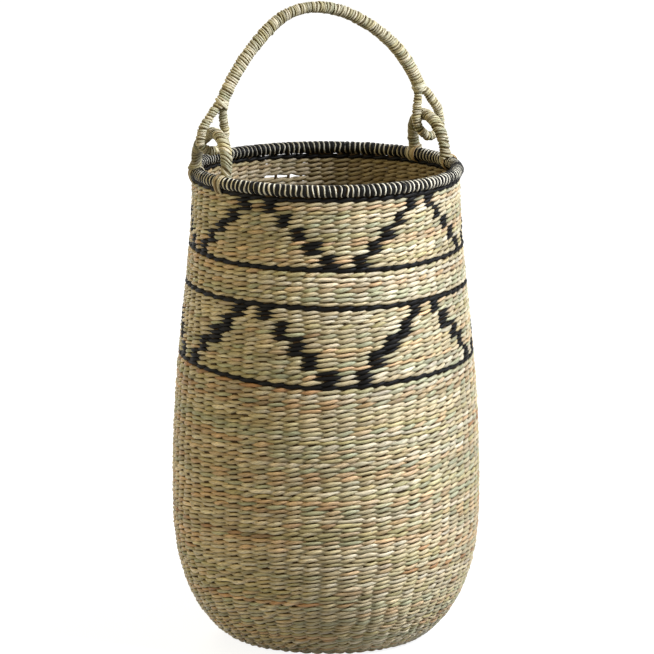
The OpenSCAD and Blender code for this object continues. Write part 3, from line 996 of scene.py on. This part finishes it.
piece = Piece()
bundle(piece, grip_line, grip_len, grip_radius, GRIP_THINNER)
piece.build("grip_bundle", "handle", core_mat, ["handle_core"])
piece = Piece()
wound(piece, grip_line, grip_len, grip_radius, GRIP_PITCH, HALF_WIND_T, level=grip_light_and_shade)
piece.build("grip_winding", "handle", wrap_mat, ["handle_wrap"])


# End loops: one line from one leg around the bend to the other leg
LEG_OVER = 4.0
EYE_THINNER = 1.1
EYE_UNEVEN = 0.12
EYE_WAVE = 9.0
LONG_POINTS = 20
SHORT_POINTS = 10


def eye_points():
    """Points of a loop in its own plane, across and up from the middle of its bend."""
    bent_x = EYE_R - EYE_BEND_R * (1 - math.cos(EYE_BEND))
    bent_z = EYE_SIDE + EYE_BEND_R * math.sin(EYE_BEND)
    leg = (bent_x - LEG_GAP) / math.sin(EYE_BEND) + LEG_OVER
    leg_x = bent_x - leg * math.sin(EYE_BEND)
    leg_z = bent_z + leg * math.cos(EYE_BEND)
    half = []
    for t in np.linspace(0, 1, LONG_POINTS):
        half.append((leg_x + (bent_x - leg_x) * t, leg_z + (bent_z - leg_z) * t))
    for t in np.linspace(EYE_BEND, 0, SHORT_POINTS)[1:]:
        half.append((EYE_R - EYE_BEND_R + EYE_BEND_R * math.cos(t), EYE_SIDE + EYE_BEND_R * math.sin(t)))
    for t in np.linspace(0, 1, SHORT_POINTS)[1:]:
        half.append((EYE_R, EYE_SIDE * (1 - t)))
    for t in np.linspace(0, np.pi / 2, LONG_POINTS)[1:]:
        half.append((EYE_R * math.cos(t), -EYE_R * math.sin(t)))
    points = half + [(-x, z) for x, z in half[::-1][1:]]
    return np.array(points)


eye_xz = eye_points()
eye_s = np.concatenate([[0], np.cumsum(np.linalg.norm(np.diff(eye_xz, axis=0), axis=1))])
eye_len = float(eye_s[-1])


def eye_line(side):
    """The line of one loop, with its small bends."""
    def line(s):
        x = np.interp(s, eye_s, eye_xz[:, 0])
        z = np.interp(s, eye_s, eye_xz[:, 1])
        if side < 0:
            z = np.where(z < 0, LEFT_FLAT * z, z)
        else:
            x = x + RIGHT_TUCK * np.clip(-x / EYE_R, 0, 1) * np.exp(-((z + TUCK_DOWN) / TUCK_SPREAD) ** 2)
        dx = np.interp(s, eye_s, np.gradient(eye_xz[:, 0], eye_s))
        dz = np.interp(s, eye_s, np.gradient(eye_xz[:, 1], eye_s))
        cos = math.cos(EYE_LEAN)
        sin = math.sin(EYE_LEAN)
        px = EYE_X + x * cos - z * sin
        px = px - (FORK_SHIFT if side > 0 else LEFT_SHIFT) * np.clip(z / eye_xz[0, 1], 0, 1) ** 3
        px = px - (0.0 if side > 0 else LEFT_IN)
        pz = RIM_Z + EYE_RISE + x * sin + z * cos
        ax = -dz * cos - dx * sin
        az = -dz * sin + dx * cos
        place = np.stack([side * px, EAR_SHIFT + 0 * px, pz], -1)
        away = unit(np.stack([side * ax, 0 * px, az], -1))
        across = np.broadcast_to(np.array([0.0, 1.0, 0.0]), place.shape)
        return place, away, across
    return line


def eye_radius(s):
    return EYE_TUBE_R + EYE_UNEVEN * np.sin(s / EYE_WAVE)


# Ties: two strips that cross over each fork
TIE_FROM_END = 4.0
TIE_TURNS = 1.6
TIE_POINTS = 40
TIE_SWAY = 2.0
TIE_START = 0.6
TIE_CREEP = 0.8
TIE_HALF_W = 1.15
TIE_HALF_T = 0.6
TIE_RANGE = (0.8, 1.0)

# Which way each strip crosses, and how far out it lies
TIE_STRIPS = ((1, 6.0), (-1, 6.5))


for label, side in (("left", -1), ("right", 1)):
    piece = Piece()
    bundle(piece, eye_line(side), eye_len, eye_radius, EYE_THINNER)
    piece.build(f"{label}_eye_bundle", "handle", core_mat, [f"{label}_eye_core"])
    piece = Piece()
    wound(piece, eye_line(side), eye_len, eye_radius, LOOP_PITCH, HALF_WIND_T, hand=-side)
    piece.build(f"{label}_eye_winding", "handle", wrap_mat, [f"{label}_eye_wrap"])
    piece = Piece()
    tie_at = TIE_FROM_END if side > 0 else grip_len - TIE_FROM_END
    wind = np.linspace(0, 2 * np.pi * TIE_TURNS, TIE_POINTS)
    creep = np.linspace(-TIE_CREEP, TIE_CREEP, TIE_POINTS)
    for hand, lift in TIE_STRIPS:
        s = tie_at + hand * TIE_SWAY * np.cos(wind + TIE_START) + creep
        place, away, across = grip_line(np.clip(s, 0, grip_len))
        out = away * np.cos(wind)[:, None] + across * np.sin(wind)[:, None]
        tint = TIE * rng.uniform(*TIE_RANGE)
        piece.strand(place + out * lift, out, TIE_HALF_W, TIE_HALF_T, tint, sides=FEW_SIDES,
                     twist=THIN_TWIST)
    piece.build(f"{label}_fork_binding", "handle", wrap_mat, [f"{label}_fork_tie"])


# Floor, light and camera, in metres
FLOOR_GREY = (0.32, 0.32, 0.32, 1)
FLOOR_NEAR = 0.88
NEAR_R = 0.25
FAR_R = 0.9
FLOOR_HALF = 30.0
WHITE_LIGHT = (1, 1, 1, 1)


def seen_directly(nodes, links):
    """One for a ray from the camera, also by way of gloss or glass, and zero for light on the object."""
    ray = nodes.new("ShaderNodeLightPath")
    seen = nodes.new("ShaderNodeMath")
    seen.operation = "MAXIMUM"
    links.new(ray.outputs["Is Camera Ray"], seen.inputs[0])
    links.new(ray.outputs["Is Glossy Ray"], seen.inputs[1])
    clear = nodes.new("ShaderNodeMath")
    clear.operation = "MAXIMUM"
    links.new(seen.outputs["Value"], clear.inputs[0])
    links.new(ray.outputs["Is Transmission Ray"], clear.inputs[1])
    return clear.outputs["Value"]


def floor_material():
    mat = bpy.data.materials.new("pale_floor")
    mat.use_nodes = True
    nodes = mat.node_tree.nodes
    links = mat.node_tree.links
    nodes.clear()
    out = nodes.new("ShaderNodeOutputMaterial")
    matte = nodes.new("ShaderNodeBsdfDiffuse")
    matte.inputs["Color"].default_value = FLOOR_GREY
    place = nodes.new("ShaderNodeNewGeometry")
    away = nodes.new("ShaderNodeVectorMath")
    away.operation = "LENGTH"
    links.new(place.outputs["Position"], away.inputs[0])
    bright = nodes.new("ShaderNodeMapRange")
    bright.inputs["From Min"].default_value = NEAR_R
    bright.inputs["From Max"].default_value = FAR_R
    bright.inputs["To Min"].default_value = FLOOR_NEAR
    bright.inputs["To Max"].default_value = 1.0
    links.new(away.outputs["Value"], bright.inputs["Value"])
    glow = nodes.new("ShaderNodeEmission")
    glow.inputs["Color"].default_value = WHITE_LIGHT
    links.new(bright.outputs["Result"], glow.inputs["Strength"])
    both = nodes.new("ShaderNodeAddShader")
    links.new(matte.outputs["BSDF"], both.inputs[0])
    links.new(glow.outputs["Emission"], both.inputs[1])
    pick = nodes.new("ShaderNodeMixShader")
    links.new(seen_directly(nodes, links), pick.inputs["Fac"])
    links.new(matte.outputs["BSDF"], pick.inputs[1])
    links.new(both.outputs["Shader"], pick.inputs[2])
    links.new(pick.outputs["Shader"], out.inputs["Surface"])
    return mat


def floor():
    mesh = bpy.data.meshes.new("floor")
    far = FLOOR_HALF
    corners = [(-far, -far, 0), (far, -far, 0), (far, far, 0), (-far, far, 0)]
    mesh.from_pydata(corners, [], [(0, 1, 2, 3)])
    mesh.materials.append(floor_material())
    obj = bpy.data.objects.new("floor", mesh)
    bpy.context.scene.collection.objects.link(obj)


floor()

view_right = np.array([math.cos(CAM_AZ), math.sin(CAM_AZ), 0.0])
view_near = np.array([math.sin(CAM_AZ), -math.cos(CAM_AZ), 0.0])
LIGHT_AIM = (0, 0, 0.28)


def look_at(obj, target):
    direction = (np.array(target) - np.array(obj.location)).tolist()
    obj.rotation_euler = Vector(direction).to_track_quat("-Z", "Y").to_euler()


def area_light(name, right, near, height, size, power, colour):
    """A round lamp, placed in metres to the right of the view, towards the camera and up."""
    data = bpy.data.lights.new(name, "AREA")
    data.shape = "DISK"
    data.size = size
    data.energy = power
    data.color = colour
    obj = bpy.data.objects.new(name, data)
    obj.location = (view_right * right + view_near * near + UP * height).tolist()
    bpy.context.scene.collection.objects.link(obj)
    look_at(obj, LIGHT_AIM)


area_light("key", right=1.66, near=0.68, height=1.75, size=1.0, power=98, colour=(0.9, 0.97, 1.15))
area_light("fill", right=-1.9, near=0.7, height=0.95, size=1.1, power=14, colour=(1.0, 0.87, 0.53))
area_light("back", right=-0.7, near=-2.0, height=1.4, size=1.2, power=24, colour=(1.0, 0.97, 0.9))

# Soft warm light from all around, while what shows behind the basket is white
SKY_COLOUR = (1.0, 0.865, 0.53, 1)
SKY_POWER = 0.22
world = bpy.data.worlds.new("studio")
bpy.context.scene.world = world
world.use_nodes = True
sky_nodes = world.node_tree.nodes
sky_links = world.node_tree.links
soft_sky = sky_nodes["Background"]
soft_sky.inputs["Color"].default_value = SKY_COLOUR
soft_sky.inputs["Strength"].default_value = SKY_POWER
white_sky = sky_nodes.new("ShaderNodeBackground")
white_sky.inputs["Color"].default_value = WHITE_LIGHT
white_sky.inputs["Strength"].default_value = 1.0
sky_pick = sky_nodes.new("ShaderNodeMixShader")
sky_links.new(seen_directly(sky_nodes, sky_links), sky_pick.inputs["Fac"])
sky_links.new(soft_sky.outputs["Background"], sky_pick.inputs[1])
sky_links.new(white_sky.outputs["Background"], sky_pick.inputs[2])
sky_links.new(sky_pick.outputs["Shader"], sky_nodes["World Output"].inputs["Surface"])

cam_data = bpy.data.cameras.new("camera")
cam_data.lens = CAM_LENS
cam_data.sensor_width = CAM_SENSOR
cam_data.clip_end = CAM_CLIP
cam = bpy.data.objects.new("camera", cam_data)
cam.location = (view_near * CAM_DIST + UP * CAM_HEIGHT).tolist()
bpy.context.scene.collection.objects.link(cam)
look_at(cam, (view_right * AIM_RIGHT + UP * AIM_Z).tolist())
bpy.context.scene.camera = cam
bpy.context.scene.view_settings.view_transform = "Standard"
